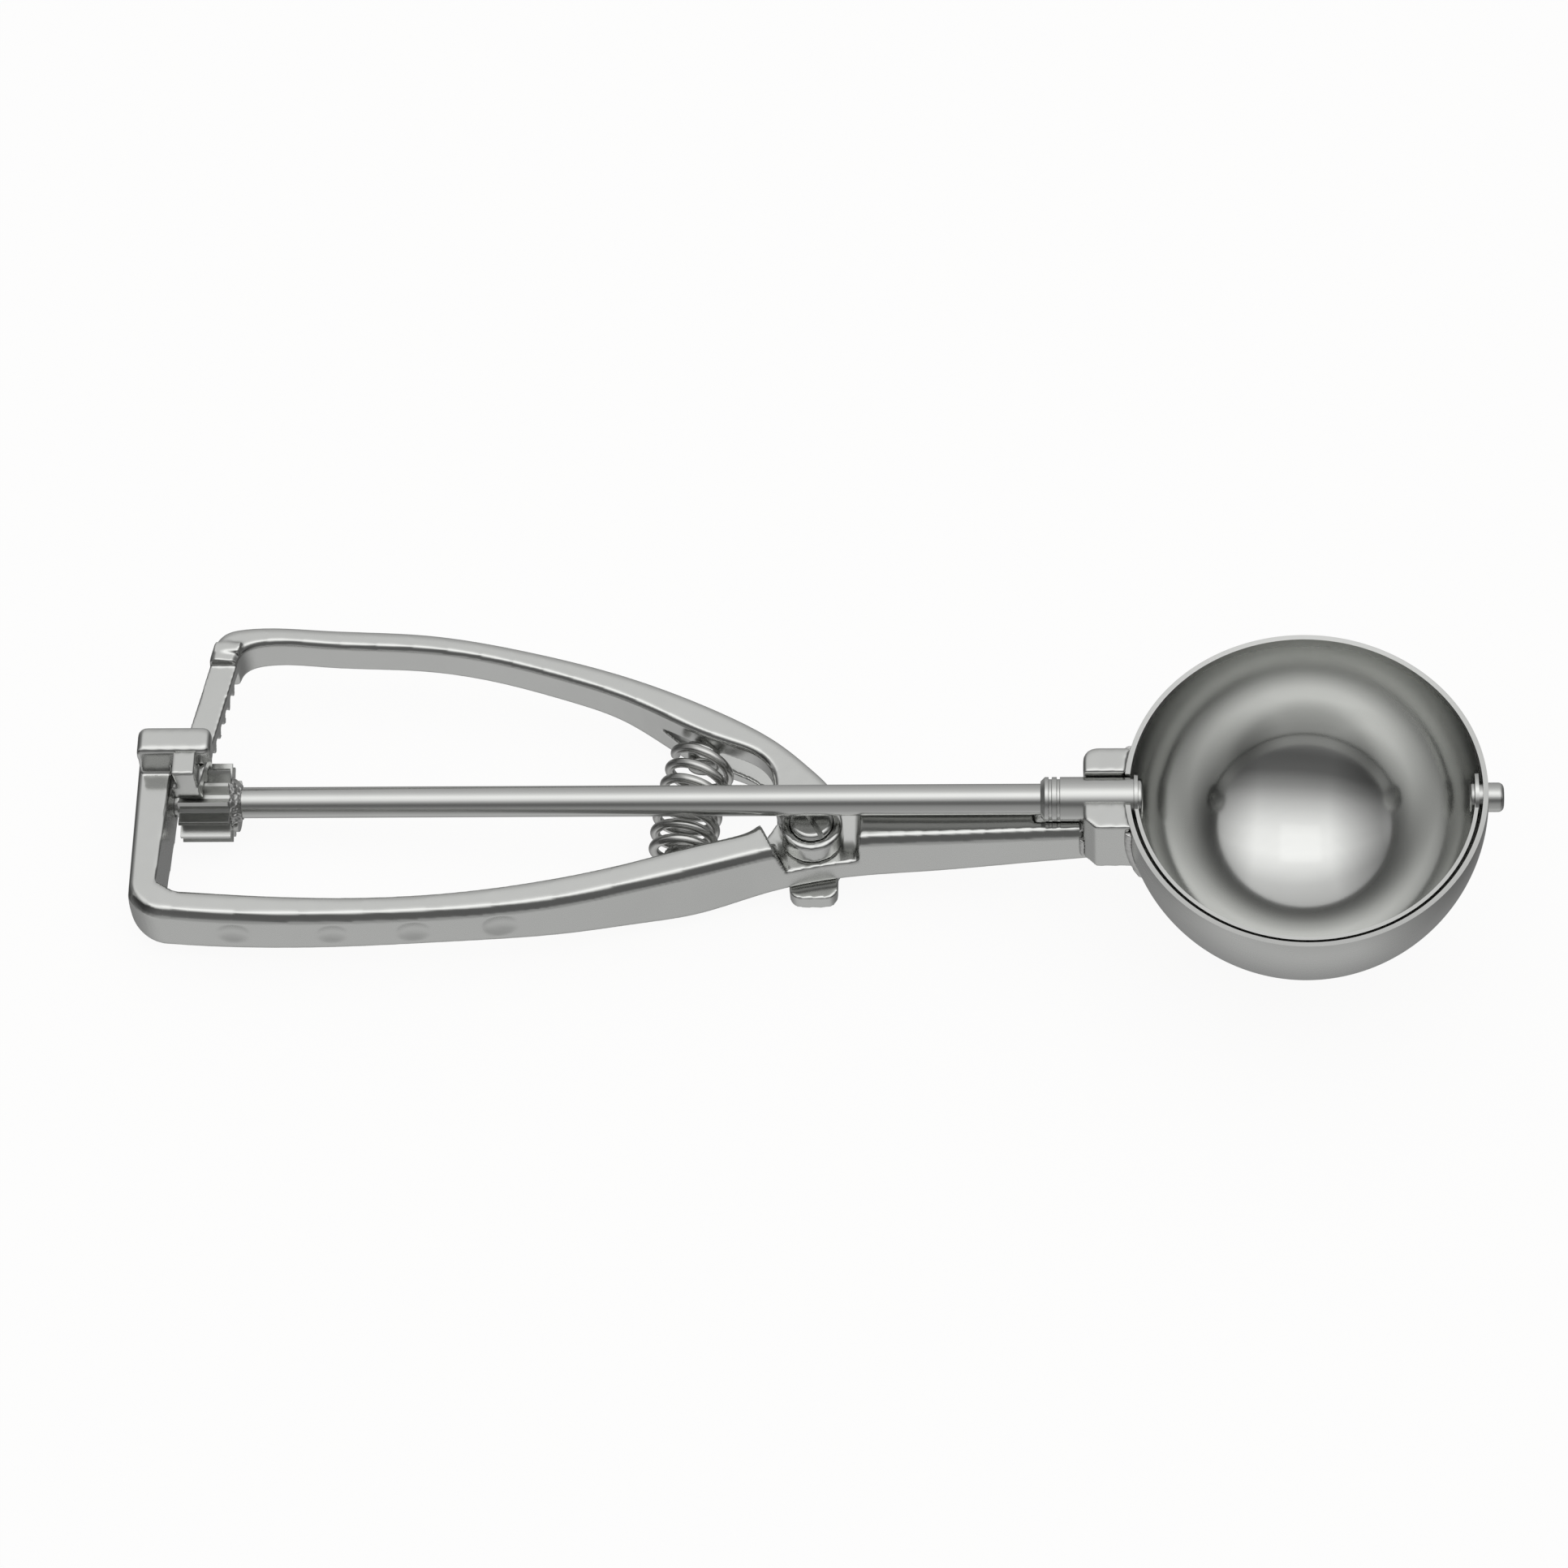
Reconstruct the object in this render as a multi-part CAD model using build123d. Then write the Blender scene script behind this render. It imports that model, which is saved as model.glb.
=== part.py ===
"""Squeeze-handle ice scoop: a cast stainless frame and lever drive a sweep blade in a round bowl.

The pieces are drawn in the tool's own axes, in millimetres: X along the drive rod towards the tip of
the bowl, Y across the two handles, Z out of the bowl's mouth, with the origin at the centre of the
bowl's sphere.  Each piece is then laid down as the scoop rests on a table, on the bowl and on the
teeth of the pinion: +Z up, X along the tool, origin on the table under the centre of the bowl.
"""

import os
from math import cos, pi, radians, sin, tan

from build123d import *

# Bowl
BOWL_R = 29.0  # outside radius
BOWL_WALL = 1.0
RIM_Z = 3.0  # height of the rim above the rod's axis
REST_TILT = 7.26  # how far the rod slopes when the scoop lies on a table, degrees

# Drive rod and what turns with it
ROD_R = 2.5
ROD_START_X = -185.2
JOURNAL_R = 2.0  # thinner end of the rod, inside the frame's leg
JOURNAL_LENGTH = 4.6
SLEEVE_R = 3.55
SLEEVE_START_X = -42.2
SLEEVE_GROOVE = 0.35
SLEEVE_ROOM = 0.35  # gap between the sleeve and the trough in the neck
RUNNING_GAP = 0.07  # radial gap of each running fit
BLADE_R = 27.4  # outside radius of the sweep blade
BLADE_THICK = 0.6
BLADE_WIDTH = 5.0
EAR_R = 4.2  # round ears at both ends of the blade
EAR_X = 27.3  # outer face of each ear
TIP_PIN_R = 2.35
TIP_PIN_END_X = 31.4
TIP_SHANK_R = 1.5
TIP_HEAD_R = 2.5
RIVET_R = 3.3
RIVET_HEAD = 0.8
RIVET_SHANK_R = 1.7

# Pinion and rack
MODULE = 0.9
PINION_TEETH = 12
PITCH_R = MODULE * PINION_TEETH / 2
PINION_TIP_R = PITCH_R + MODULE
PINION_ROOT_R = PITCH_R - 1.25 * MODULE
PINION_X = (-180.0, -171.9)
PINION_TOOTH = 1.15  # tooth thickness on the pitch circle
PINION_TIP = 0.6  # tooth thickness at the tip
PINION_ROOT = 1.6  # tooth thickness at the root
HUB_R = 4.7
HUB_LENGTH = 1.0
RACK_MEAN_R = 98.0  # distance from the pivot at which the rack has the pinion's pitch
RACK_STEP = MODULE * pi / RACK_MEAN_R  # angle between rack teeth, radians
RACK_TEETH = 8
RACK_TOOTH = 1.0  # tooth thickness on the pitch line
RACK_FLANK = tan(radians(20))
RACK_TIP_Z = PITCH_R - 0.65
RACK_ROOT_Z = PITCH_R + 1.2
RACK_TOP_Z = 9.0
RACK_WIDTH = 4.3
RACK_LEAN = 0.198  # how far the bar leans in X for each millimetre of Y
RACK_EDGE_X = -180.0  # left edge of the bar, abreast of the rod
RACK_END_Y = -2.6
RACK_FIRST_Y = -1.7  # middle of the tooth at the rack's free end
STEP_Y = 20.8  # where the bar rises to the lever's corner
LUG_TOP_Z = 13.4

# Pivot
PIVOT_X = -79.0
PIVOT_Y = -1.5
BOSS_R = 5.0
BOSS_TOP_Z = -4.5
TONGUE_TOP_Z = -9.0
TONGUE_BOTTOM_Z = -14.5
FORK_GAP = 0.3  # side play between the lever's ears and the tongue
LOWER_EAR_HALF = 3.9
LOWER_EAR_Y = -9.6
SCREW_R = 2.4
SCREW_HEAD_R = 3.45
SCREW_HEAD_TOP_Z = -3.5
SCREW_SEAT_Z = -6.0
SCREW_END_Z = -17.6

# Frame
LEG_TOP_Z = 7.0
ARM_END_TOP_Z = -2.0  # top of the front arm where the pivot pocket starts
NECK_TOP_Z = -3.0
BEVEL = 1.2
CAP_X = (-186.0, -174.2)
CAP_Y = (1.55, 6.4)
CAP_Z = (9.4, 13.4)
RISER_X = -180.7
CAP_RELIEF = 1.7  # step under the cap's rear edge that lets the squeezed lever in
GRIP_FLATS = ((-170, -24.9, 1.2), (-154, -24.3, -0.2), (-141, -23.1, -1.4), (-127, -21.2, -2.7))
GRIP_FLAT_DEPTH = 0.55

# Bowl holder
HOLDER_X = -35.4
HOLDER_HALF_WIDTH = 7.55
HOLDER_Z = (-8.5, 3.7)
HOLDER_SLOT = 5.74
SEAM = 0.02  # gap that the brazing fills between welded pieces

# Return spring
SPRING_WIRE = 1.6
SPRING_MEAN_R = 4.8
SPRING_TURNS = 6.5
SPRING_FRONT_X = -99.8
SPRING_REAR_X = -97.0
SPRING_Z = -8.7
SPRING_PIP_R = 3.1  # studs that hold the ends of the spring
SPRING_Y = (-5.4, 12.5)


def edges_of(runs):
    """Lines and smooth curves through lists of points: two points make a line, more make a curve."""
    return [Line(*run) if len(run) == 2 else Spline(*run) for run in runs]


def upright(runs, z_low=-40, z_high=40):
    """An upright solid over a closed outline of (x, y) points."""
    return Pos(0, 0, z_low) * extrude(make_face(Curve() + edges_of(runs)), z_high - z_low)


def sideways(runs, y_front=-60, y_back=60):
    """A solid over a closed side view of (x, z) points, between two values of Y."""
    view = Plane.XZ * make_face(Curve() + edges_of(runs))
    return Pos(0, y_back, 0) * extrude(view, y_back - y_front)


def closed(points):
    """Straight runs from each point to the next, and back to the first."""
    return [[a, b] for a, b in zip(points, points[1:] + points[:1])]


def rod_x(radius, x_start, x_end, y=0, z=0):
    """A round bar along X."""
    return Pos(x_start, y, z) * extrude(Plane.YZ * Circle(radius), x_end - x_start)


def rod_y(radius, y_start, y_end, x, z):
    """A round bar along Y."""
    return Pos(x, y_end, z) * extrude(Plane.XZ * Circle(radius), y_end - y_start)


def post(radius, z_low, z_high, x=PIVOT_X, y=PIVOT_Y):
    """A round post along Z, on the pivot unless told otherwise."""
    return Pos(x, y, z_low) * extrude(Circle(radius), z_high - z_low)


def block(x, y, z):
    """A box between two values of x, of y and of z."""
    low_corner = (Align.MIN, Align.MIN, Align.MIN)
    return Pos(x[0], y[0], z[0]) * Box(x[1] - x[0], y[1] - y[0], z[1] - z[0], align=low_corner)


def near(shape, *points):
    """The edge of the shape whose middle is nearest to each point."""
    found = []
    for point in points:
        found.append(min(shape.edges(), key=lambda edge: ((edge @ 0.5) - Vector(*point)).length))
    return found


def make_frame_casting():
    """Front handle, heel leg with the cap over the rack, pivot tongue and neck, cast in one."""
    plan = upright(
        [
            [
                (-180.5, -24.6),
                (-169, -24.9),
                (-155, -24.3),
                (-143, -23.3),
                (-130, -21.7),
                (-117, -19.1),
                (-107, -16.1),
                (-98, -13.2),
                (-85, -8.8),
                (-72, -6.3),
                (-60, -5.7),
                (-46, -5.2),
                (-26, -4.6),
            ],
            [(-26, -4.6), (-26, 4.3)],
            [
                (-26, 4.3),
                (-46, 4.35),
                (-60, 4.4),
                (-70, 4.55),
                (-76.5, 4.7),
                (-82.8, 3.0),
                (-86, -0.8),
                (-88, -3.6),
                (-91.5, -5.4),
                (-97, -7.2),
                (-107, -10.8),
                (-122.4, -15.3),
                (-137.7, -18.3),
                (-153, -19.8),
                (-168.4, -20.1),
                (-179.5, -19.9),
            ],
            [(-179.5, -19.9), (-182.2, -18.4)],
            [(-182.2, -18.4), (RISER_X, CAP_Y[1])],
            [(RISER_X, CAP_Y[1]), (-187.4, CAP_Y[1])],
            [(-187.4, CAP_Y[1]), (-187.4, -17.5)],
            [(-187.4, -17.5), (-186.3, -21.2), (-183.8, -23.7), (-180.5, -24.6)],
        ]
    )
    side = sideways(
        [
            [(-186.4, LEG_TOP_Z), (-181, LEG_TOP_Z)],
            [
                (-181, LEG_TOP_Z),
                (-160, 5.0),
                (-140, 3.1),
                (-120, 1.2),
                (-100, -0.7),
                (-87, ARM_END_TOP_Z),
                (-76, -2.7),
                (-66, NECK_TOP_Z),
                (-50, NECK_TOP_Z - 0.05),
                (-20, NECK_TOP_Z),
            ],
            [(-20, NECK_TOP_Z), (-20, -10.4)],
            [
                (-20, -10.4),
                (-36, -11.4),
                (-46, -12.5),
                (-66, -14.3),
                (-78, -14.6),
                (-88.5, -14.8),
                (-97, -14.9),
                (-107, -12.7),
                (-123, -8.9),
                (-138, -6.6),
                (-154, -5.4),
                (-170, -4.2),
                (-187.6, -3.4),
            ],
            [(-187.6, -3.4), (-186.4, LEG_TOP_Z)],
        ]
    )
    body = plan & side
    body = chamfer(near(body, (-103, -15, -0.4), (-180.8, -24.6, 7), (-184, -23.5, 7)), BEVEL)
    body = fillet(near(body, (-101, -8.7, -0.6)), 0.9)
    body = fillet(near(body, (-103, -15, -13.7)), 1.4)
    body = fillet(near(body, (-101, -8.7, -14.2)), 1.2)
    body = fillet(near(body, (-186.4, -7, 7)), 0.8)

    cap = block(CAP_X, CAP_Y, CAP_Z)
    corners = ((CAP_X[1], CAP_Y[0], 11), (CAP_X[1], CAP_Y[1], 11), (CAP_X[0], CAP_Y[1], 11))
    cap = fillet(near(cap, *corners), 1.4)
    cap = fillet(cap.faces().sort_by(Axis.Z)[-1].edges(), 1.0)
    relief_y = (CAP_Y[1] - CAP_RELIEF, CAP_Y[1] + 5)
    cap -= block((RISER_X, CAP_X[1] + 5), relief_y, (CAP_Z[0] - 1, CAP_Z[0] + 1.3))
    body += cap + block((CAP_X[0], RISER_X), CAP_Y, (0, 11))
    body -= make_pocket()
    body -= rod_x(JOURNAL_R + RUNNING_GAP, ROD_START_X - 0.2, -178)
    body -= post(SCREW_R + RUNNING_GAP, -20, 0)
    body -= post(BOSS_R + 2, -20, TONGUE_BOTTOM_Z)
    body += rod_y(SPRING_PIP_R, -10, SPRING_Y[0] + 0.8, SPRING_FRONT_X, SPRING_Z)
    for flat_x, face_y, flat_z in GRIP_FLATS:
        body -= Pos(flat_x, face_y - 7.5 + GRIP_FLAT_DEPTH, flat_z) * Sphere(7.5)
    body -= rod_x(SLEEVE_R + SLEEVE_ROOM, SLEEVE_START_X - 1, 0)
    body -= block((HOLDER_X, 0), (-10, 10), (HOLDER_Z[0] - SEAM, 10))
    return body - Sphere(BOWL_R + SEAM)


def make_pocket():
    """Room cut in the frame above the tongue for the lever's boss, wider at the top."""
    low = [(-85.5, -3.2), (-82.2, -10), (-71.5, -12), (-71.5, 9), (-91, 9), (-91, -3.2)]
    high = [(-87.3, -3.2), (-83.6, -11.4), (-71.3, -12), (-71.3, 9), (-91, 9), (-91, -3.2)]
    floor = Pos(0, 0, TONGUE_TOP_Z) * make_face(Polyline(*low, close=True))
    mouth = Pos(0, 0, -1) * make_face(Polyline(*high, close=True))
    return loft([floor, mouth])


def make_bowl():
    """Round bowl with a keyhole for the drive sleeve and a hole for the blade's tip pin."""
    shell = Sphere(BOWL_R) - Sphere(BOWL_R - BOWL_WALL)
    shell -= block((-40, 40), (-40, 40), (RIM_Z, 40))
    notch_r = SLEEVE_R + 3 * RUNNING_GAP
    shell -= rod_x(notch_r, -40, -20)
    shell -= block((-40, -20), (-HOLDER_SLOT / 2, HOLDER_SLOT / 2), (0, 40))
    shell -= rod_x(TIP_PIN_R + RUNNING_GAP, 20, 40)
    return shell


def make_bowl_holder():
    """Slotted block that carries the bowl and the sleeve's open bearing."""
    half = HOLDER_HALF_WIDTH
    body = block((HOLDER_X, -20), (-half, half), HOLDER_Z)
    body = fillet(near(body, (HOLDER_X, half, -2)), 2.2)
    body = chamfer(near(body, (HOLDER_X, -half, -2)), 2.0)
    body = fillet(near(body, (HOLDER_X, 0, HOLDER_Z[1])), 0.6)
    body -= Sphere(BOWL_R + SEAM)
    body -= rod_x(SLEEVE_R + RUNNING_GAP, -40, -20)
    body -= block((-40, -20), (-HOLDER_SLOT / 2, HOLDER_SLOT / 2), (0, 40))
    return body


def make_holder_weld(frame, holder):
    """Brazed bead where the holder's sides and underside meet the bowl."""
    outside = BOWL_R + SEAM
    half = HOLDER_HALF_WIDTH
    low = HOLDER_Z[0]
    window = block((-40, -20), (-40, 40), (low - 2, 2.4))
    side_r = (outside**2 - half**2) ** 0.5
    under_r = (outside**2 - low**2) ** 0.5
    bead = Pos(0, half, 0) * Rot(90, 0, 0) * Torus(side_r, 0.9)
    bead += Pos(0, -half, 0) * Rot(90, 0, 0) * Torus(side_r, 0.9)
    bead &= window
    under = Pos(0, 0, low) * Torus(under_r, 0.9)
    under &= block((-40, -20), (-half, half), (low - 2, low + 2))
    bead += under
    return bead - frame - holder - Sphere(outside)


def make_neck_weld(frame, holder):
    """Weld beads where the neck meets the holder, on top and at both sides."""
    bead = rod_y(0.7, -4.3, 4.3, HOLDER_X, NECK_TOP_Z)
    for side_y in (-5.0, 5.0):
        bead += post(0.7, HOLDER_Z[0] + 0.2, NECK_TOP_Z - 0.9, HOLDER_X, side_y)
    bead -= rod_x(SLEEVE_R + SLEEVE_ROOM, -50, 0)
    return bead - frame - holder


def make_rod():
    """Drive rod with a thinner journal at the heel and a bore for the blade's rivet."""
    journal_end = ROD_START_X + JOURNAL_LENGTH
    rod = rod_x(JOURNAL_R, ROD_START_X, journal_end)
    rod += rod_x(ROD_R, journal_end, -EAR_X)
    rod -= rod_x(RIVET_SHANK_R + SEAM, -EAR_X - 4, 0)
    return rod


def make_sleeve():
    """Bearing sleeve brazed on the rod, with two grooves at its heel end."""
    sleeve = rod_x(SLEEVE_R, SLEEVE_START_X, -EAR_X)
    sleeve = chamfer(near(sleeve, (SLEEVE_START_X, -SLEEVE_R, 0)), 0.7)
    for groove_x in (SLEEVE_START_X + 1.3, SLEEVE_START_X + 2.6):
        ring = rod_x(SLEEVE_R + 1, groove_x, groove_x + 0.5)
        ring -= rod_x(SLEEVE_R - SLEEVE_GROOVE, groove_x, groove_x + 0.5)
        sleeve -= ring
    return sleeve - rod_x(ROD_R + SEAM, -50, 0)


def make_pinion():
    """Twelve-tooth pinion with a half hub on the side of the rod."""
    corners = []
    for tooth in range(PINION_TEETH):
        middle = 90 + 360 * (tooth + 0.5) / PINION_TEETH - RACK_FIRST_Y / PITCH_R * 180 / pi
        for radius, thickness in ((PINION_ROOT_R, -PINION_ROOT), (PINION_TIP_R, -PINION_TIP),
                                  (PINION_TIP_R, PINION_TIP), (PINION_ROOT_R, PINION_ROOT)):
            angle = radians(middle) + thickness / 2 / radius
            corners.append((radius * cos(angle), radius * sin(angle)))
    outline = Plane.YZ * make_face(Polyline(*corners, close=True))
    gear = Pos(PINION_X[0], 0, 0) * extrude(outline, PINION_X[1] - PINION_X[0])
    hub = rod_x(HUB_R, PINION_X[1], PINION_X[1] + HUB_LENGTH)
    gear += hub & block((-200, -100), (-10, 10), (-10, -0.8))
    return gear - rod_x(ROD_R + SEAM, -200, -100)


def make_pinion_weld(pinion):
    """Weld bead that fixes the pinion to the rod."""
    start = PINION_X[1]
    from_its_base = (Align.CENTER, Align.CENTER, Align.MIN)
    bead = Pos(start, 0, 0) * Rot(0, 90, 0) * Cone(4.1, 2.7, 1.6, align=from_its_base)
    return bead - rod_x(ROD_R + SEAM, -200, -100) - pinion


def make_blade():
    """Sweep blade: a half ring of strip with a round ear at each end."""
    inner = BLADE_R - BLADE_THICK
    strip = post(BLADE_R, -BLADE_WIDTH / 2, BLADE_WIDTH / 2, 0, 0)
    strip -= post(inner, -BLADE_WIDTH / 2, BLADE_WIDTH / 2, 0, 0)
    strip &= block((-30, 30), (-30, 0), (-5, 5))
    face = EAR_X - BLADE_THICK
    blade = strip + rod_x(EAR_R, -EAR_X, -face) + rod_x(EAR_R, face, EAR_X)
    blade &= block((-EAR_X, EAR_X), (-30, 30), (-10, 10))
    blade -= rod_x(RIVET_SHANK_R + SEAM, -30, 0) + rod_x(RIVET_R + SEAM, -face, 0)
    return blade - rod_x(TIP_SHANK_R + SEAM, 0, 30) - rod_x(TIP_HEAD_R + SEAM, 0, face)


def make_rivet():
    """Rivet that fixes the blade's ear to the end of the rod."""
    face = -EAR_X + BLADE_THICK
    head = rod_x(RIVET_R, face, face + RIVET_HEAD)
    head = fillet(near(head, (face + RIVET_HEAD, -RIVET_R, 0)), 0.5)
    return head + rod_x(RIVET_SHANK_R, -EAR_X - 3.8, face)


def make_tip_pin():
    """Stub that carries the blade in the tip of the bowl."""
    face = EAR_X - BLADE_THICK
    pin = rod_x(TIP_PIN_R, EAR_X, TIP_PIN_END_X)
    pin = fillet(near(pin, (TIP_PIN_END_X, -TIP_PIN_R, 0)), 0.9)
    pin += rod_x(TIP_SHANK_R, face, EAR_X)
    head = rod_x(TIP_HEAD_R, face - 0.7, face)
    return pin + fillet(near(head, (face - 0.7, -TIP_HEAD_R, 0)), 0.4)


def make_lever():
    """Squeeze lever: rear handle, toothed rack with its stop lug, and the forked pivot end."""
    plan = upright(
        [
            [
                (-176, 20.5),
                (-175.5, 23.4),
                (-173.7, 26.1),
                (-171, 27.2),
                (-158, 28.3),
                (-142, 29.0),
                (-126, 27.6),
                (-110, 24.5),
                (-95, 19.4),
                (-84.5, 13.7),
                (-79.2, 9.0),
                (-76.5, 6.1),
                (-74.1, -0.5),
            ],
            [(-74.1, -0.5), (-83.9, -0.5)],
            [
                (-83.9, -0.5),
                (-85.2, 5),
                (-85.8, 8.6),
                (-87.8, 11.0),
                (-92, 12.8),
                (-97, 14.4),
                (-104, 17.5),
                (-110, 19.9),
                (-120, 22.6),
                (-131, 24.7),
                (-142, 25.5),
                (-158, 24.8),
                (-167, 24.3),
                (-170.6, 22.7),
                (-171.6, 20.5),
            ],
            [(-171.6, 20.5), (-176, 20.5)],
        ]
    )
    side = sideways(
        [
            [
                (-178, 11.1),
                (-158, 7.7),
                (-131, 3.1),
                (-110, -0.6),
                (-97, -2.8),
                (-90, -3.8),
                (-83, BOSS_TOP_Z + 0.1),
                (-70, BOSS_TOP_Z),
            ],
            [(-70, BOSS_TOP_Z), (-70, -17.9)],
            [
                (-70, -17.9),
                (-79, -17.8),
                (-86, -16.9),
                (-92, -15.9),
                (-98, -14.6),
                (-104, -12.0),
                (-110, -8.9),
                (-118, -6.8),
                (-131, -4.2),
                (-158, 0.4),
                (-178, 3.6),
            ],
            [(-178, 3.6), (-178, 11.1)],
        ]
    )
    body = plan & side
    body = chamfer(near(body, (-123, 23.4, 1.8)), 0.7)
    body = fillet(near(body, (-122, 27, 1.6)), 1.2)
    body = fillet(near(body, (-123, 23.2, -5.8)), 1.0)
    body = fillet(near(body, (-121, 26.9, -6.1)), 1.0)
    boss = post(BOSS_R, -17.9, BOSS_TOP_Z)
    body += chamfer(near(boss, (PIVOT_X - BOSS_R, PIVOT_Y, BOSS_TOP_Z)), 0.4)
    body += make_rack()
    ear_x = (PIVOT_X - LOWER_EAR_HALF, PIVOT_X + LOWER_EAR_HALF)
    ear = block(ear_x, (LOWER_EAR_Y, PIVOT_Y), (-17.9, -14.8))
    ear = fillet(near(ear, (ear_x[0], LOWER_EAR_Y, -16), (ear_x[1], LOWER_EAR_Y, -16)), 2.0)
    body += ear
    body -= sideways(
        [
            [(-104, -6.4), (-98, -7.0), (-90, -8.3), (-86, TONGUE_TOP_Z + FORK_GAP)],
            [(-86, TONGUE_TOP_Z + FORK_GAP), (-60, TONGUE_TOP_Z + FORK_GAP)],
            [(-60, TONGUE_TOP_Z + FORK_GAP), (-60, TONGUE_BOTTOM_Z - FORK_GAP)],
            [(-60, TONGUE_BOTTOM_Z - FORK_GAP), (-85, TONGUE_BOTTOM_Z - FORK_GAP)],
            [(-85, TONGUE_BOTTOM_Z - FORK_GAP), (-91, -13.4), (-97, -11.2), (-104, -6.4)],
        ]
    )
    body += rod_y(SPRING_PIP_R - 0.5, SPRING_Y[1] - 1.2, 16, SPRING_REAR_X, SPRING_Z)
    body -= post(SCREW_HEAD_R + 0.1, SCREW_SEAT_Z, 0)
    return body - post(SCREW_R + SEAM, -30, 0)


def make_rack():
    """Toothed bar across the end of the lever, with the stop lug on its free end."""

    def left_edge(y):
        return RACK_EDGE_X + RACK_LEAN * y

    top_y = 24.0
    outline = [
        (left_edge(RACK_END_Y), RACK_END_Y),
        (left_edge(RACK_END_Y) + RACK_WIDTH, RACK_END_Y),
        (left_edge(top_y) + RACK_WIDTH, top_y),
        (left_edge(top_y), top_y),
    ]
    bar = upright(closed(outline), RACK_ROOT_Z, 10.5)
    bar -= block((-190, -160), (-10, STEP_Y), (RACK_TOP_Z, 20))
    bar -= rod_x(1.5, -190, -160, STEP_Y, RACK_TOP_Z + 1.5)
    lug_x = left_edge(RACK_END_Y)
    lug_view = [
        (lug_x + 0.5, LUG_TOP_Z),
        (lug_x + 4.1, LUG_TOP_Z),
        (lug_x + 4.1, RACK_ROOT_Z),
        (lug_x + 1.2, RACK_ROOT_Z),
    ]
    lug = sideways(closed(lug_view), RACK_END_Y, CAP_Y[0] - 0.05)
    span = upright(closed(outline), 0, RACK_ROOT_Z + 0.3)
    rack = bar + lug
    for tooth in range(RACK_TEETH):
        rack += make_rack_tooth(tooth) & span
    return rack


def make_rack_tooth(tooth):
    """One ridge of the rack, pointing at the pivot."""
    high = RACK_ROOT_Z + 0.2
    half_low = RACK_TOOTH / 2 - (PITCH_R - RACK_TIP_Z) * RACK_FLANK
    half_high = RACK_TOOTH / 2 + (high - PITCH_R) * RACK_FLANK
    corners = [(-half_high, high), (half_high, high), (half_low, RACK_TIP_Z), (-half_low, RACK_TIP_Z)]
    section = Plane.YZ * make_face(Polyline(*corners, close=True))
    ridge = Pos(-RACK_MEAN_R - 7, 0, 0) * extrude(section, 14)
    first = (RACK_FIRST_Y - PIVOT_Y) / RACK_MEAN_R
    turn = -(first + tooth * RACK_STEP) * 180 / pi
    return Pos(PIVOT_X, PIVOT_Y, 0) * Rot(0, 0, turn) * ridge


def make_spring():
    """Return spring: a coil whose axis bends from the front handle to the lever."""
    points = []
    steps = int(SPRING_TURNS * 10)
    length = SPRING_Y[1] - SPRING_Y[0]
    for step in range(steps + 1):
        part = step / steps
        angle = 2 * pi * SPRING_TURNS * part
        lean = 2 * (SPRING_REAR_X - SPRING_FRONT_X) * part / length
        scale = (1 + lean**2) ** 0.5
        across = SPRING_MEAN_R * cos(angle)
        x = SPRING_FRONT_X + (SPRING_REAR_X - SPRING_FRONT_X) * part**2 + across / scale
        y = SPRING_Y[0] + length * part - across * lean / scale
        points.append((x, y, SPRING_Z + SPRING_MEAN_R * sin(angle)))
    path = Spline(*points)
    return sweep(Plane(path @ 0, z_dir=path % 0) * Circle(SPRING_WIRE / 2), path)


def make_screw():
    """Pivot screw with a domed, slotted head."""
    head = post(SCREW_HEAD_R, SCREW_SEAT_Z, SCREW_HEAD_TOP_Z)
    head = fillet(near(head, (PIVOT_X - SCREW_HEAD_R, PIVOT_Y, SCREW_HEAD_TOP_Z)), 0.8)
    head -= Pos(PIVOT_X, PIVOT_Y, SCREW_HEAD_TOP_Z) * Rot(0, 0, -60) * Box(10, 0.9, 2.0)
    return head + post(SCREW_R, SCREW_END_Z, SCREW_SEAT_Z)


def place(shape):
    """Lay a piece down in the resting pose."""
    return Pos(0, 0, BOWL_R) * Rot(0, -REST_TILT, 0) * shape


os.makedirs("parts", exist_ok=True)
frame_casting = make_frame_casting()
bowl_holder = make_bowl_holder()
pinion = make_pinion()
pieces = {
    "frame_casting": frame_casting,
    "bowl_holder": bowl_holder,
    "bowl": make_bowl(),
    "holder_weld": make_holder_weld(frame_casting, bowl_holder),
    "neck_weld": make_neck_weld(frame_casting, bowl_holder),
    "lever": make_lever(),
    "pivot_screw": make_screw(),
    "return_spring": make_spring(),
    "drive_rod": make_rod(),
    "rod_sleeve": make_sleeve(),
    "pinion": pinion,
    "pinion_weld": make_pinion_weld(pinion),
    "sweep_blade": make_blade(),
    "blade_rivet": make_rivet(),
    "tip_pin": make_tip_pin(),
}
for name, piece in pieces.items():
    export_step(place(piece), f"parts/{name}.step")
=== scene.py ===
import math

import bmesh
import bpy
from mathutils import Matrix, Vector, noise


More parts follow.
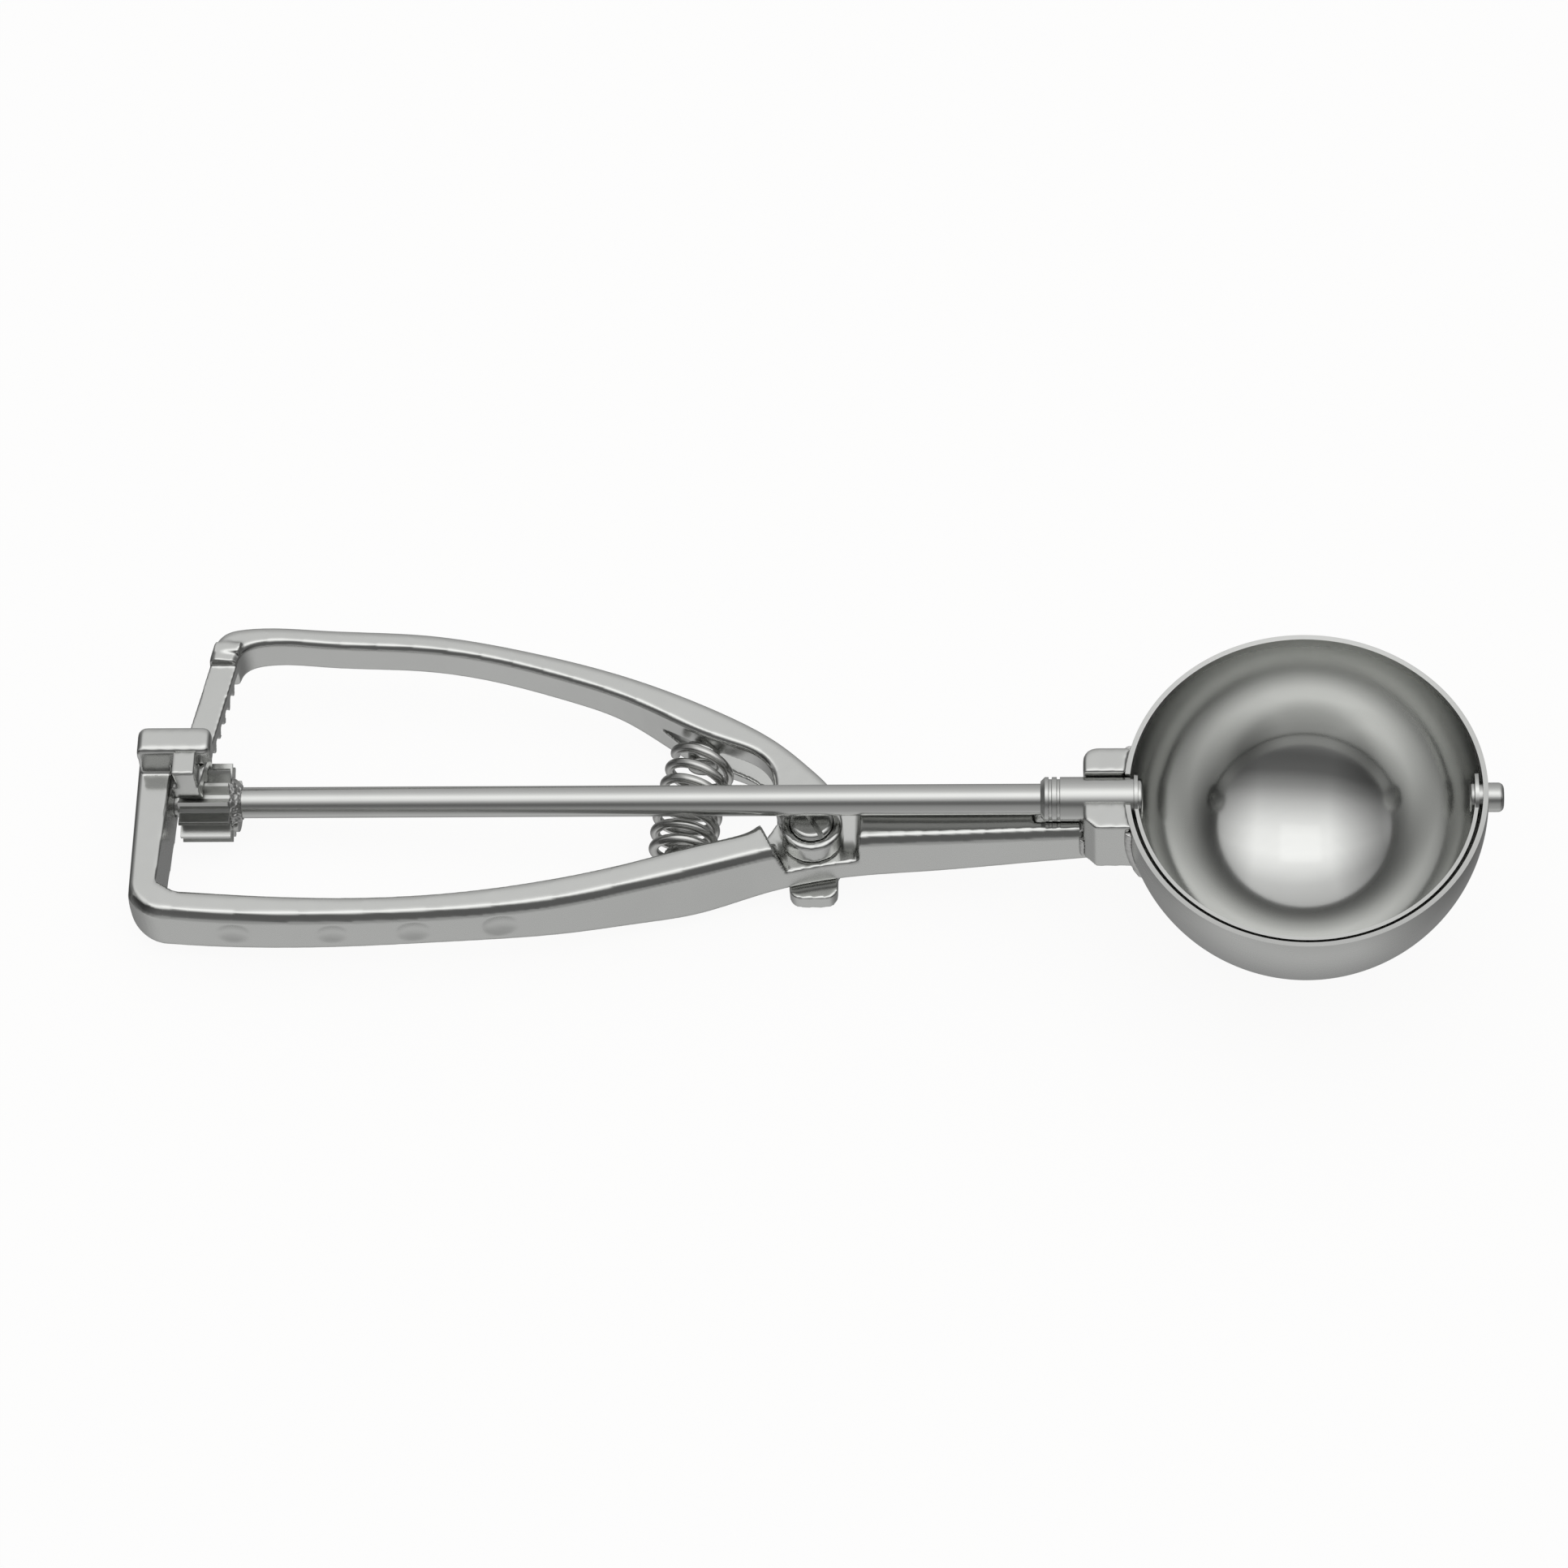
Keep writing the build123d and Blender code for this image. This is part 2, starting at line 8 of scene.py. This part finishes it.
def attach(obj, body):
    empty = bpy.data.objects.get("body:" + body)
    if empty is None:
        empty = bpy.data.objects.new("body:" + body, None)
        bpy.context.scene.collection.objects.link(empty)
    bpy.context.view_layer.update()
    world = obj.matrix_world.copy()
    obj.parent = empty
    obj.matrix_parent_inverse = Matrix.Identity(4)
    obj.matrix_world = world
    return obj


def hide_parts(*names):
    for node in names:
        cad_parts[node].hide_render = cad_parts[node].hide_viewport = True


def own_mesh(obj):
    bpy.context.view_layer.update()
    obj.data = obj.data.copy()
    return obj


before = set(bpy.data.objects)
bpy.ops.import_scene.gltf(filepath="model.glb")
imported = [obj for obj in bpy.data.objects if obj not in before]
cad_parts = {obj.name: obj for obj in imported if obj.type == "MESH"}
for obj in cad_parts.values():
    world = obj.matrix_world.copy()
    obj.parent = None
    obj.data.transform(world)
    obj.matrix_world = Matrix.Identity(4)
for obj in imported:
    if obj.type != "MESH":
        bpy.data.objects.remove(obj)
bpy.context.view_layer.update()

MM = 0.001
MICRON = 1e-6
REST_TILT = math.radians(7.26)
BOWL_R = 29.0 * MM
BOWL_WALL = 0.8 * MM
RIM_HEIGHT = 3.0 * MM
RIM_SLOPE = 0.4 * MM  # fall of the rim towards the inside
KEYHOLE_R = 3.76 * MM
KEYHOLE_WIDTH = 5.74 * MM
PIN_HOLE_R = 2.42 * MM
STEEL = (0.62, 0.625, 0.61)
BODY, LEVER, SHAFT = "scoop_body", "squeeze_lever", "blade_shaft"

# From the tool's own axes, with X along the rod and the origin at the bowl's centre, to the resting pose.
LAID_DOWN = Matrix.Translation((0, 0, BOWL_R)) @ Matrix.Rotation(-REST_TILT, 4, "Y")


# ---------------------------------------------------------------- finishes


class Wire:
    """A value in a finish's node tree that works in plain sums."""

    def __init__(self, tree, socket):
        self.tree = tree
        self.socket = socket

    def sum(self, operation, first, second):
        node = self.tree.nodes.new("ShaderNodeMath")
        node.operation = operation
        for socket, value in zip(node.inputs, (first, second)):
            if isinstance(value, Wire):
                self.tree.links.new(value.socket, socket)
            else:
                socket.default_value = value
        return Wire(self.tree, node.outputs[0])

    def __add__(self, other):
        return self.sum("ADD", self, other)

    def __radd__(self, other):
        return self.sum("ADD", other, self)

    def __sub__(self, other):
        return self.sum("SUBTRACT", self, other)

    def __rsub__(self, other):
        return self.sum("SUBTRACT", other, self)

    def __mul__(self, other):
        return self.sum("MULTIPLY", self, other)

    def __rmul__(self, other):
        return self.sum("MULTIPLY", other, self)

    def __truediv__(self, other):
        return self.sum("DIVIDE", self, other)


class Finish:
    """A node tree, for a material or for the studio's surroundings, with one way to add a node."""

    def __init__(self, tree):
        self.tree = tree
        tree.nodes.clear()

    def node(self, kind, settings=None, values=None, stops=None, output=0):
        made = self.tree.nodes.new("ShaderNode" + kind)
        for key, value in (settings or {}).items():
            setattr(made, key, value)
        if stops:
            ramp = made.color_ramp
            while len(ramp.elements) < len(stops):
                ramp.elements.new(1.0)
            for element, (place, level) in zip(ramp.elements, stops):
                element.position = place
                element.color = (level, level, level, 1)
        for key, value in (values or {}).items():
            if isinstance(value, Wire):
                self.tree.links.new(value.socket, made.inputs[key])
            else:
                made.inputs[key].default_value = value
        return Wire(self.tree, made.outputs[output]) if made.outputs else None

    def blend(self, amount, first, second):
        """A colour between two colours."""
        settings = {"data_type": "RGBA"}
        return self.node("Mix", settings, {0: amount, 6: first, 7: second}, output=2)


def tint(tone, level=1.0):
    return tuple(channel * level for channel in tone) + (1.0,)


def new_finish(thing):
    """The emptied node tree of a material or of the surroundings."""
    thing.use_nodes = True
    return Finish(thing.node_tree)


def metal_surface(finish, colour, rough, relief):
    """Bare metal with this colour, roughness and relief in metres, as the material's surface."""
    bumped = finish.node("Bump", {}, {"Strength": 1.0, "Distance": 1.0, "Height": relief})
    metal = {"Base Color": colour, "Metallic": 1.0, "Roughness": rough, "Normal": bumped}
    finish.node("OutputMaterial", {}, {"Surface": finish.node("BsdfPrincipled", {}, metal)})


def speckle(finish, place, scale, detail, roughness):
    return finish.node(
        "TexNoise", {}, {"Vector": place, "Scale": scale, "Detail": detail, "Roughness": roughness}
    )


def steel(name, tone, roughness, polish, stain, grain, grain_size, ripple=0.0, along=1.0):
    """Bare stainless steel, buffed to the polish value on the faces that look up.

    Grain and ripple are reliefs in micrometres. The grain's size is in millimetres, and it is drawn
    out along the rod. Stain is how far the tone wanders.
    """
    material = bpy.data.materials.new(name)
    finish = new_finish(material)
    place = finish.node("TexCoord", output=3)
    turned = finish.node("Mapping", {}, {"Vector": place, "Rotation": (0, REST_TILT, 0)})
    drawn = finish.node("Mapping", {}, {"Vector": turned, "Scale": (1 / along, 1, 1)})
    fine = speckle(finish, drawn, 1 / (grain_size * MM), 4, 0.6)
    middle = speckle(finish, drawn, 420, 3, 0.6)
    broad = speckle(finish, turned, 90, 3, 0.55)
    colour = finish.blend(broad * 0.6 + middle * 0.4, tint(tone, 1 - stain), tint(tone, 1 + stain))
    facing = finish.node("TexCoord", output=1)
    upward = finish.node("SeparateXYZ", {}, {"Vector": facing}, output=2)
    ends = {"From Min": 0.15, "From Max": 0.6, "To Min": roughness, "To Max": polish}
    buffed = finish.node("MapRange", {}, {"Value": upward, **ends})
    rough = buffed + (middle - 0.5) * 0.04 + (fine - 0.5) * 0.03
    metal_surface(finish, colour, rough, fine * (grain * MICRON) + broad * (ripple * MICRON))
    return material


# name, tone, roughness, polish on top, stain, grain, grain size, ripple, drawn out
satin_casting = steel("satin_casting", STEEL, 0.27, 0.13, 0.05, 0.3, 0.25, 10)
lever_casting = steel("lever_casting", STEEL, 0.24, 0.12, 0.06, 0.3, 0.25, 10)
holder_casting = steel("holder_casting", STEEL, 0.27, 0.19, 0.06, 0.4, 0.25, 8)
brushed_rod = steel("brushed_rod", STEEL, 0.25, 0.25, 0.05, 0.35, 0.2, 0, 20)
blade_polish = steel("blade_polish", STEEL, 0.18, 0.18, 0.05, 0.6, 0.2)
spring_wire = steel("spring_wire", (0.6, 0.6, 0.585), 0.2, 0.2, 0.08, 0.8, 0.15)
screw_polish = steel("screw_polish", STEEL, 0.22, 0.22, 0.08, 0.8, 0.2)
tumbled_pinion = steel("tumbled_pinion", (0.58, 0.585, 0.57), 0.26, 0.26, 0.08, 1.2, 0.3, 6)
weld_metal = steel("weld_metal", (0.56, 0.56, 0.55), 0.3, 0.3, 0.14, 12.0, 0.35, 10)


def spun_bowl_steel():
    """Steel spun into a bowl: mirror polish and faint rings inside, a brushed satin outside."""
    material = bpy.data.materials.new("spun_bowl")
    finish = new_finish(material)
    place = finish.node("TexCoord", output=3)
    centred = finish.node("VectorMath", {"operation": "SUBTRACT"}, {0: place, 1: (0, 0, BOWL_R)})
    upright = finish.node("Mapping", {}, {"Vector": centred, "Rotation": (0, REST_TILT, 0)})
    distance = finish.node("VectorMath", {"operation": "LENGTH"}, {0: centred}, output=1)
    limits = {"From Min": BOWL_R - BOWL_WALL * 0.8, "From Max": BOWL_R - BOWL_WALL * 0.3}
    outside = finish.node("MapRange", {}, {"Value": distance, **limits})
    rings_at = finish.node("Mapping", {}, {"Vector": upright, "Scale": (0.02, 0.02, 1)})
    rings = speckle(finish, rings_at, 1600, 5, 0.7)
    streaks_at = finish.node("Mapping", {}, {"Vector": upright, "Scale": (1, 1, 0.15)})
    streaks = speckle(finish, streaks_at, 300, 4, 0.6)
    broad = speckle(finish, upright, 55, 2, 0.5)
    mottle = broad * 0.5 + rings * 0.3 + streaks * 0.2
    inner = finish.blend(mottle, tint(STEEL, 0.9), tint(STEEL, 1.08))
    outer = finish.blend(mottle, tint(STEEL, 0.9), tint(STEEL, 1.05))
    colour = finish.blend(outside, inner, outer)
    height = finish.node("SeparateXYZ", {}, {"Vector": upright}, output=2)
    limits = {"From Min": -0.4 * BOWL_R, "From Max": RIM_HEIGHT, "To Min": 0.1, "To Max": 0.3}
    inside = finish.node("MapRange", {}, {"Value": height, **limits})
    rough = outside * (0.28 - inside) + inside + (broad - 0.5) * 0.06 + (rings - 0.5) * 0.05
    metal_surface(finish, colour, rough, (rings * 0.15 + broad * 10 + streaks * 0.4) * MICRON)
    return material


bowl_polish = spun_bowl_steel()


# ---------------------------------------------------------------- pieces


def new_piece(name, mesh, body, material, slot, *nodes):
    """A finished mesh as a piece that rides on a body and stands for CAD nodes."""
    piece = bpy.data.objects.new(name, mesh)
    bpy.context.scene.collection.objects.link(piece)
    mesh.materials.clear()
    mesh.materials.append(material)
    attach(piece, body)
    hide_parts(*nodes)
    return piece


def smooth_by_angle(mesh, degrees):
    """Smooth shading everywhere, except over edges that turn by more than the angle."""
    work = bmesh.new()
    work.from_mesh(mesh)
    limit = math.radians(degrees)
    for face in work.faces:
        face.smooth = True
    for edge in work.edges:
        edge.smooth = len(edge.link_faces) == 2 and edge.calc_face_angle(0) < limit
    work.to_mesh(mesh)
    work.free()


def merged_copy(node, flat_limit=0.05):
    """The CAD node's surface as one joined mesh, with its flat faces made whole."""
    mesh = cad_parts[node].data.copy()
    work = bmesh.new()
    work.from_mesh(mesh)
    bmesh.ops.remove_doubles(work, verts=work.verts, dist=2e-6)
    if flat_limit:
        limit = math.radians(flat_limit)
        bmesh.ops.dissolve_limit(work, angle_limit=limit, verts=work.verts, edges=work.edges)
    work.to_mesh(mesh)
    work.free()
    return mesh


def refined(name, node, body, material, slot, sharp=30, edge=0.0, steps=2, flat_limit=0.05):
    """A smooth copy of a CAD node with its sharp edges broken by a small radius, in millimetres."""
    mesh = merged_copy(node, flat_limit)
    smooth_by_angle(mesh, sharp)
    piece = new_piece(name, mesh, body, material, slot, node)
    if edge:
        broken = piece.modifiers.new("broken_edges", "BEVEL")
        broken.limit_method = "ANGLE"
        broken.angle_limit = math.radians(sharp)
        broken.width = edge * MM
        broken.segments = steps
        broken.harden_normals = True
    return piece


def baked_mesh(piece):
    """The piece's mesh with its modifiers applied."""
    bpy.context.view_layer.update()
    shown = piece.evaluated_get(bpy.context.evaluated_depsgraph_get())
    return bpy.data.meshes.new_from_object(shown)


def evenly_meshed(name, node, body, material, slot, cell, passes=0):
    """A CAD node's copy on an even mesh with cells of this size in millimetres, then smoothed."""
    piece = new_piece(name, merged_copy(node, 0), body, material, slot, node)
    voxels = piece.modifiers.new("even_mesh", "REMESH")
    voxels.mode = "VOXEL"
    voxels.voxel_size = cell * MM
    rubbed = piece.modifiers.new("rubbed_edges", "SMOOTH")
    rubbed.factor = 0.5
    rubbed.iterations = passes
    even = baked_mesh(piece)
    piece.modifiers.clear()
    even.materials.clear()
    even.materials.append(material)
    piece.data = even
    return piece


def hand_polished(name, node, body, material, slot, cell, passes):
    """A casting's copy with its edges rubbed round."""
    piece = evenly_meshed(name, node, body, material, slot, cell, passes)
    smooth_by_angle(piece.data, 70)


def round_cutter(radius, depth, middle_x):
    """A round cutter along the rod's axis, in the tool's own axes."""
    work = bmesh.new()
    stood = Matrix.Translation((middle_x, 0, 0)) @ Matrix.Rotation(math.radians(90), 4, "Y")
    bmesh.ops.create_cone(
        work, cap_ends=True, segments=96, radius1=radius, radius2=radius, depth=depth, matrix=stood
    )
    return work


def slot_cutter(length, width, depth, middle_x):
    """A square cutter that opens the keyhole upwards."""
    work = bmesh.new()
    bmesh.ops.create_cube(work, size=1)
    bmesh.ops.scale(work, vec=(length, width, depth), verts=work.verts)
    bmesh.ops.translate(work, vec=(middle_x, 0, depth / 2), verts=work.verts)
    return work


def cut_away(mesh, cutter):
    """The mesh with the cutter's shape taken out of it."""
    target = bpy.data.objects.new("cut_target", mesh)
    tool_mesh = bpy.data.meshes.new("cut_tool")
    cutter.to_mesh(tool_mesh)
    cutter.free()
    tool = bpy.data.objects.new("cut_tool", tool_mesh)
    for thing in (target, tool):
        bpy.context.scene.collection.objects.link(thing)
    carve = target.modifiers.new("carve", "BOOLEAN")
    carve.operation = "DIFFERENCE"
    carve.solver = "EXACT"
    carve.object = tool
    result = baked_mesh(target)
    for thing in (target, tool):
        bpy.data.objects.remove(thing)
    return result


def make_bowl():
    """Thin round bowl with a rounded rim, the sleeve's keyhole and the tip pin's hole."""
    work = bmesh.new()
    bmesh.ops.create_uvsphere(work, u_segments=256, v_segments=180, radius=BOWL_R)
    whole = list(work.verts) + list(work.edges) + list(work.faces)
    rim = {"plane_co": (0, 0, RIM_HEIGHT), "plane_no": (0, 0, 1)}
    bmesh.ops.bisect_plane(work, geom=whole, clear_outer=True, **rim)
    bmesh.ops.recalc_face_normals(work, faces=work.faces)
    bmesh.ops.solidify(work, geom=list(work.faces), thickness=BOWL_WALL)
    bmesh.ops.recalc_face_normals(work, faces=work.faces)
    for vertex in work.verts:
        if abs(vertex.co.z - RIM_HEIGHT) < 0.01 * MM and vertex.co.length < BOWL_R - BOWL_WALL / 2:
            vertex.co.z -= RIM_SLOPE
    mesh = bpy.data.meshes.new("bowl_shell")
    work.to_mesh(mesh)
    work.free()
    keyhole = round_cutter(KEYHOLE_R, 16 * MM, -BOWL_R)
    slot = slot_cutter(16 * MM, KEYHOLE_WIDTH, 10 * MM, -BOWL_R)
    pin_hole = round_cutter(PIN_HOLE_R, 10 * MM, BOWL_R)
    for cutter in (keyhole, slot, pin_hole):
        mesh = cut_away(mesh, cutter)
    mesh.transform(LAID_DOWN)
    mesh.name = "bowl_shell"
    smooth_by_angle(mesh, 35)
    shell = new_piece("bowl_shell", mesh, BODY, bowl_polish, "bowl_steel", "bowl")
    softened = shell.modifiers.new("rim_edge", "BEVEL")
    softened.limit_method = "ANGLE"
    softened.angle_limit = math.radians(50)
    softened.width = 0.28 * MM
    softened.segments = 4
    softened.harden_normals = True


def make_rough_bead(name, node, body, slot, height):
    """A weld bead: the CAD bead with a lumpy surface, its lumps' height in millimetres."""
    bead = evenly_meshed(name, node, body, weld_metal, slot, 0.12)
    for vertex in bead.data.vertices:
        lump = noise.noise(vertex.co / (0.9 * MM)) + 0.5 * noise.noise(vertex.co / (0.4 * MM))
        vertex.co += vertex.normal * lump * height * MM
    smooth_by_angle(bead.data, 60)


make_bowl()
hand_polished("frame_body", "frame_casting", BODY, satin_casting, "cast_frame", 0.32, 4)
hand_polished("squeeze_handle", "lever", LEVER, lever_casting, "cast_lever", 0.24, 4)
hand_polished("holder_block", "bowl_holder", BODY, holder_casting, "cast_holder", 0.3, 9)
refined("drive_bar", "drive_rod", SHAFT, brushed_rod, "rod_steel")
refined("bearing_sleeve", "rod_sleeve", SHAFT, brushed_rod, "rod_steel", edge=0.08)
refined("pinion_gear", "pinion", SHAFT, tumbled_pinion, "pinion_steel", sharp=20, edge=0.22)
refined("sweep_strip", "sweep_blade", SHAFT, blade_polish, "blade_steel", edge=0.08)
refined("ear_rivet", "blade_rivet", SHAFT, blade_polish, "blade_steel", edge=0.08)
refined("tip_stub", "tip_pin", SHAFT, brushed_rod, "pin_steel", edge=0.08)
refined("slotted_screw", "pivot_screw", LEVER, screw_polish, "screw_steel", edge=0.12)
make_rough_bead("pinion_bead", "pinion_weld", SHAFT, "weld_metal", 0.22)
make_rough_bead("neck_bead", "neck_weld", BODY, "weld_metal", 0.08)
make_rough_bead("holder_bead", "holder_weld", BODY, "weld_metal", 0.08)
coil = refined("coil_spring", "return_spring", BODY, spring_wire, "spring_steel", sharp=50, flat_limit=0)
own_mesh(coil)


# ---------------------------------------------------------------- studio


STUDIO_R = 4.0

# Light round the rod's axis: degrees from overhead, less than zero towards the front, and its level.
LIGHT_LEVELS = (
    (-180, 0.40),
    (-150, 0.66),
    (-120, 0.46),
    (-95, 0.42),
    (-80, 0.36),
    (-70, 0.22),
    (-60, 0.13),
    (-49, 0.16),
    (-38, 0.40),
    (-27, 0.80),
    (-17, 1.08),
    (-7, 1.28),
    (7, 1.34),
    (17, 1.15),
    (29, 0.84),
    (45, 0.68),
    (66, 0.56),
    (90, 0.48),
    (120, 0.32),
    (150, 0.24),
    (180, 0.40),
)

def studio_surface(name, work, glow, paint):
    """A pale surface that glows evenly and that the steel doesn't mirror."""
    mesh = bpy.data.meshes.new(name)
    work.to_mesh(mesh)
    work.free()
    surface = bpy.data.objects.new(name, mesh)
    bpy.context.scene.collection.objects.link(surface)
    material = bpy.data.materials.new(name)
    finish = new_finish(material)
    shaded = finish.node("BsdfDiffuse", {}, {"Color": (paint, paint, paint, 1)})
    lit = finish.node("Emission", {}, {"Color": (1, 0.998, 0.996, 1), "Strength": glow})
    both = finish.node("AddShader", {}, {0: shaded, 1: lit})
    finish.node("OutputMaterial", {}, {"Surface": both})
    mesh.materials.append(material)
    surface.visible_glossy = False
    surface.visible_diffuse = False
    return surface


def make_studio():
    """Pale floor, and a pale wall far away."""
    disc = bmesh.new()
    bmesh.ops.create_circle(disc, cap_ends=True, segments=96, radius=STUDIO_R)
    floor = studio_surface("studio_floor", disc, 0.93, 0.08)
    dome = bmesh.new()
    bmesh.ops.create_uvsphere(dome, u_segments=64, v_segments=32, radius=STUDIO_R)
    wall = studio_surface("studio_wall", dome, 0.98, 0.0)
    wall.visible_shadow = False


def make_surroundings():
    """Soft light from all round: broad overhead and behind, darker low in front and at both ends."""
    world = bpy.data.worlds.new("studio_light")
    bpy.context.scene.world = world
    finish = new_finish(world)
    direction = finish.node("TexCoord")
    x, y, z = (finish.node("SeparateXYZ", {}, {"Vector": direction}, output=part) for part in range(3))
    turn = y.sum("ARCTAN2", y, z) / (2 * math.pi) + 0.5
    stops = [(degrees / 360 + 0.5, level) for degrees, level in LIGHT_LEVELS]
    shade = finish.node("ValToRGB", {}, {"Fac": turn}, stops=stops)
    ends = {"From Min": 0.4, "From Max": 0.85, "To Min": 1.0, "To Max": 0.3}
    dimmed = finish.node("MapRange", {}, {"Value": x.sum("ABSOLUTE", x, 0.0), **ends})
    light = finish.node("Background", {}, {"Color": shade, "Strength": dimmed})
    finish.node("OutputWorld", {}, {"Surface": light})


def make_softbox():
    """A faint square light overhead that faces the scoop's middle."""
    light = bpy.data.lights.new("overhead_softbox", "AREA")
    light.size = 0.5
    light.energy = 0.08
    lamp = bpy.data.objects.new("overhead_softbox", light)
    bpy.context.scene.collection.objects.link(lamp)
    lamp.location = (-0.1, 0.0, 1.1)
    aim = Vector((-0.08, 0, 0.01)) - lamp.location
    lamp.rotation_euler = aim.to_track_quat("-Z", "Y").to_euler()


def make_camera():
    """A long lens, high in front, rolled a little so the rod lies nearly level."""
    height, swing, roll = math.radians(58.9), math.radians(-6), math.radians(-5.4)
    outward = math.cos(height)
    forward = Vector((math.sin(swing) * outward, math.cos(swing) * outward, -math.sin(height)))
    right = Vector((math.cos(swing), -math.sin(swing), 0))
    up = right.cross(forward)
    level_right = right * math.cos(roll) + up * math.sin(roll)
    level_up = up * math.cos(roll) - right * math.sin(roll)
    distance = 1.0
    eye = -(level_right * 0.0831 - level_up * 0.00225 + forward * distance)
    stand = Matrix((level_right, level_up, -forward)).transposed().to_4x4()
    stand.translation = eye
    data = bpy.data.cameras.new("camera")
    data.sensor_width = 36.0
    data.lens = 144.13
    data.clip_end = 20
    camera = bpy.data.objects.new("camera", data)
    camera.matrix_world = LAID_DOWN @ stand
    bpy.context.scene.collection.objects.link(camera)
    bpy.context.scene.camera = camera


make_studio()
make_surroundings()
make_softbox()
make_camera()
bpy.context.scene.view_settings.view_transform = "Standard"
